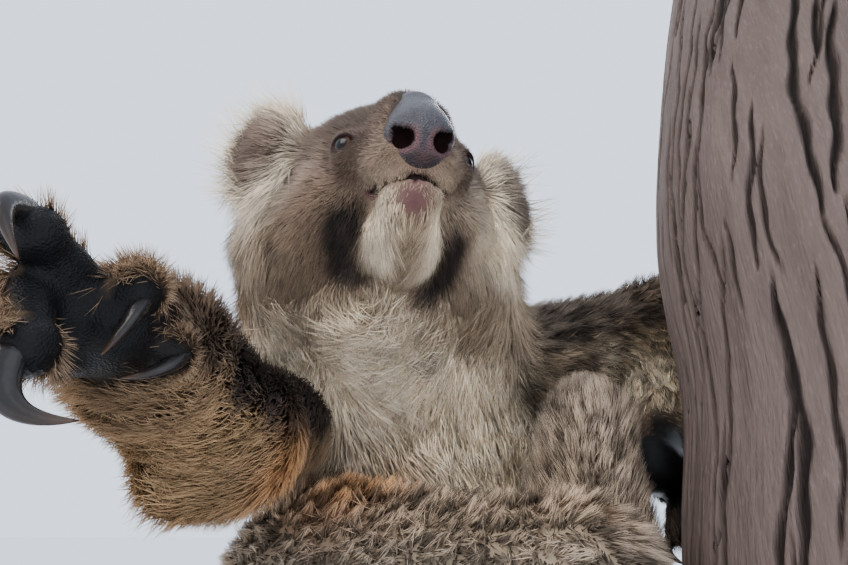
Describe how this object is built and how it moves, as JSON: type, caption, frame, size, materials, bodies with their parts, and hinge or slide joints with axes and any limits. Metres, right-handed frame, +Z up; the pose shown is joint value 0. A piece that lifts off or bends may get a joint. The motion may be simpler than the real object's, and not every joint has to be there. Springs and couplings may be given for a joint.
{
  "type": "koala holding a trunk on a display stand",
  "caption": "Life-size still model of a grown koala reaching out with one paw and gripping a cut length of tree trunk, on a plain display stand.",
  "frame": {"origin": "middle of the stand base's underside", "axes": "+Z up; the koala faces -Y and reaches that way; its left side and the trunk are at +X"},
  "size_m": [0.6915, 0.5927, 0.8],
  "materials": {
    "fur_grey": "dense woolly grey-brown fur",
    "fur_cream": "long soft cream fur",
    "bare_skin": "black ridged pads, short fur on the backs of the digits",
    "nose_leather": "slate grey pebbled skin, pinkish at the nostrils",
    "eye": "dark brown, wet",
    "claw_horn": "glossy black horn",
    "perch_wood": "weathered and cracked",
    "stand_board": "satin black painted board",
    "stand_steel": "brushed"
  },
  "bodies": {
    "root": {"head": "fur_grey", "neck": "fur_grey", "ear_right": "fur_grey", "ear_left": "fur_grey", "upper_arm_right": "fur_grey", "upper_arm_left": "fur_grey", "forearm_right": "fur_grey", "forearm_left": "fur_grey", "thigh_right": "fur_grey", "thigh_left": "fur_grey", "shin_right": "fur_grey", "shin_left": "fur_grey", "rump": "fur_grey", "lower_jaw": "fur_cream", "chest": "fur_cream", "belly": "fur_cream", "hand_right": "bare_skin", "hand_left": "bare_skin", "foot_right": "bare_skin", "foot_left": "bare_skin", "nose": "nose_leather", "eye_right": "eye", "eye_left": "eye", "hand_right_claw_1": "claw_horn", "hand_right_claw_2": "claw_horn", "hand_right_claw_3": "claw_horn", "hand_right_claw_4": "claw_horn", "hand_right_claw_5": "claw_horn", "hand_left_claw_1": "claw_horn", "hand_left_claw_2": "claw_horn", "hand_left_claw_3": "claw_horn", "hand_left_claw_4": "claw_horn", "hand_left_claw_5": "claw_horn", "foot_right_claw_1": "claw_horn", "foot_right_claw_2": "claw_horn", "foot_right_claw_3": "claw_horn", "foot_right_claw_4": "claw_horn", "foot_left_claw_1": "claw_horn", "foot_left_claw_2": "claw_horn", "foot_left_claw_3": "claw_horn", "foot_left_claw_4": "claw_horn", "perch_trunk": "perch_wood", "stand_base": "stand_board", "stand_rod_perch": "stand_steel", "stand_rod_body": "stand_steel"}
  },
  "joints": []
}
